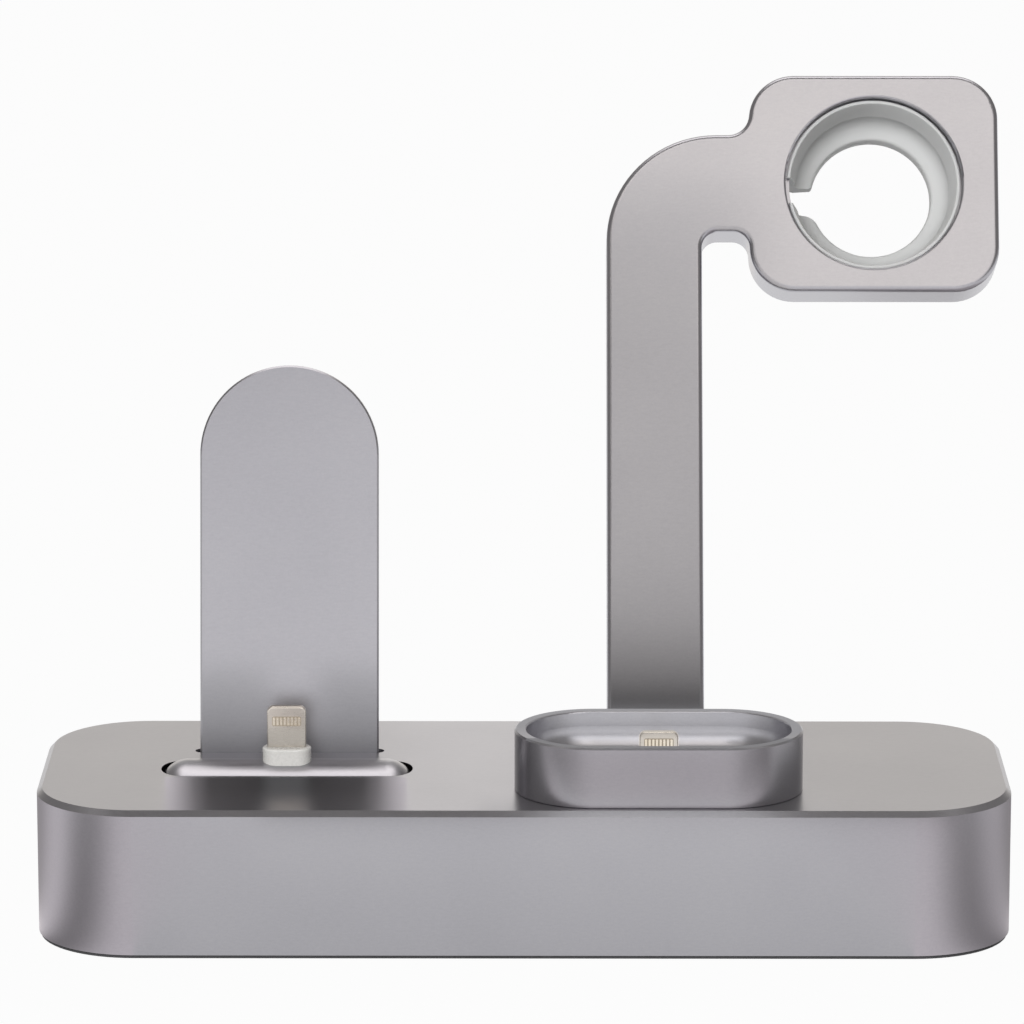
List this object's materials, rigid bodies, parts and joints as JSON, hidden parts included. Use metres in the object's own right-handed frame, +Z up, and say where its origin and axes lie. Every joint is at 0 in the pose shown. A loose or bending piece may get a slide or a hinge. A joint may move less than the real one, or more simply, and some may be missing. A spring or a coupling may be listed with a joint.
{
  "type": "phone and watch charging stand",
  "caption": "Aluminium desk stand that charges a phone on a tilting plug against a round-topped backrest, an earbud case in an oval cup, and a watch on a leaning arm.",
  "frame": {"origin": "middle of the base's footprint, on the surface that the rubber pad rests on", "axes": "+X to the right along the base, +Y to the back, +Z up"},
  "size_m": [0.167, 0.1001, 0.1367],
  "materials": {
    "anodised_aluminium": "space grey anodised, fine blasted grain, satin",
    "insert_plastic": "moulded light grey plastic, soft satin",
    "boot_plastic": "moulded white plastic",
    "tab_steel": "nickel plated steel, satin",
    "contact_gold": "gold plated",
    "screw_steel": "zinc plated steel",
    "cover_steel": "pressed steel sheet, black coated",
    "pad_rubber": "moulded anti-slip rubber, matt",
    "bearing_plastic": "moulded acetal, satin",
    "lead_jacket": "soft jacket, matt",
    "board_laminate": "glass laminate with green solder mask",
    "chip_plastic": "moulded black resin"
  },
  "bodies": {
    "stand": {"base_housing": "anodised_aluminium", "phone_backrest": "anodised_aluminium", "earbud_cup": "anodised_aluminium", "watch_arm": "anodised_aluminium", "bottom_cover_screws": "screw_steel", "backrest_screws": "screw_steel", "rocker_bearing_screws": "screw_steel", "cup_screws": "screw_steel", "cup_clamp_screws": "screw_steel", "arm_screws": "screw_steel", "board_screws": "screw_steel", "bottom_cover": "cover_steel", "base_pad": "pad_rubber", "rocker_bearing_left": "bearing_plastic", "rocker_bearing_right": "bearing_plastic", "cup_plug_boot": "boot_plastic", "cup_plug_tab": "tab_steel", "cup_plug_contacts": "contact_gold", "cup_plug_clamp": "bearing_plastic", "phone_lead": "lead_jacket", "cup_lead": "lead_jacket", "watch_ring_insert": "insert_plastic", "charge_board": "board_laminate", "power_inlet": "tab_steel", "charge_chip": "chip_plastic", "phone_lead_header": "boot_plastic", "cup_lead_header": "boot_plastic"},
    "rocker": {"phone_rocker": "anodised_aluminium", "rocker_pin_left": "screw_steel", "rocker_pin_right": "screw_steel", "phone_plug_boot": "boot_plastic", "phone_plug_tab": "tab_steel", "phone_plug_contacts": "contact_gold", "phone_plug_clamp": "bearing_plastic", "phone_clamp_screws": "screw_steel"}
  },
  "joints": [
    {"name": "plug_tilt", "type": "hinge", "parent": "stand", "child": "rocker", "pos_m": [-0.0408, -0.0026, 0.0192], "axis": [-1, 0, 0], "range_deg": [-8, 16], "deforming": ["phone_lead"]}
  ]
}
